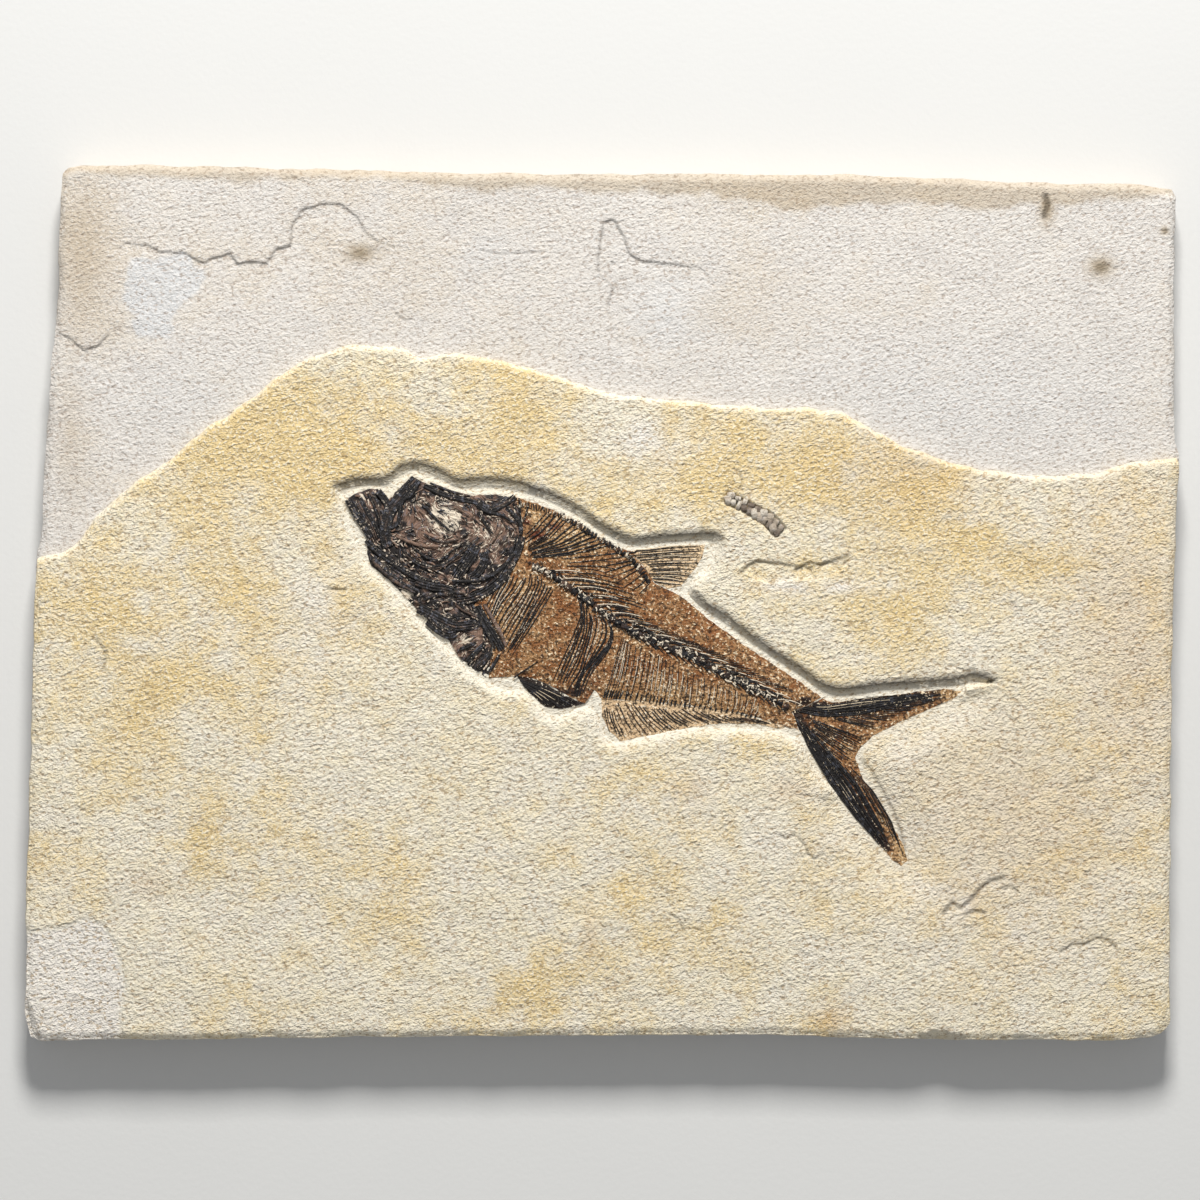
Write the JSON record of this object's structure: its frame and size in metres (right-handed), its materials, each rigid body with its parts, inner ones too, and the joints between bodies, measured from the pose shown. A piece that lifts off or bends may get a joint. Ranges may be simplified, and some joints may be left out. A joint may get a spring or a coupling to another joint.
{
  "type": "fossil fish slab",
  "caption": "Fossil fish in a prepared trench on a rectangular limestone slab, with a raised ochre bedding layer and small trace fossils; lies flat on its sawn back.",
  "frame": {"origin": "middle of the slab's sawn back, which is the bottom of the whole box", "axes": "+X from the fish's snout to its tail along the slab's length, +Y from its belly to its back, +Z out of the stone's face"},
  "size_m": [0.416, 0.316, 0.0188],
  "materials": {
    "limestone": "fine sandy grain, ochre layer over a pale grey bed",
    "fossil_skin": "rust brown, dull and granular",
    "fossil_bone": "near black, slight gloss",
    "fossil_fin": "dark brown rays, slight gloss",
    "trace_fossil": "grey brown, dull"
  },
  "bodies": {
    "root": {"limestone_slab": "limestone", "fish_flank": "fossil_skin", "fish_skull": "fossil_bone", "fish_backbone": "fossil_bone", "dorsal_fin": "fossil_fin", "pelvic_fin": "fossil_fin", "anal_fin": "fossil_fin", "tail_fin": "fossil_fin", "ridged_trace_fossil": "trace_fossil"}
  },
  "joints": []
}
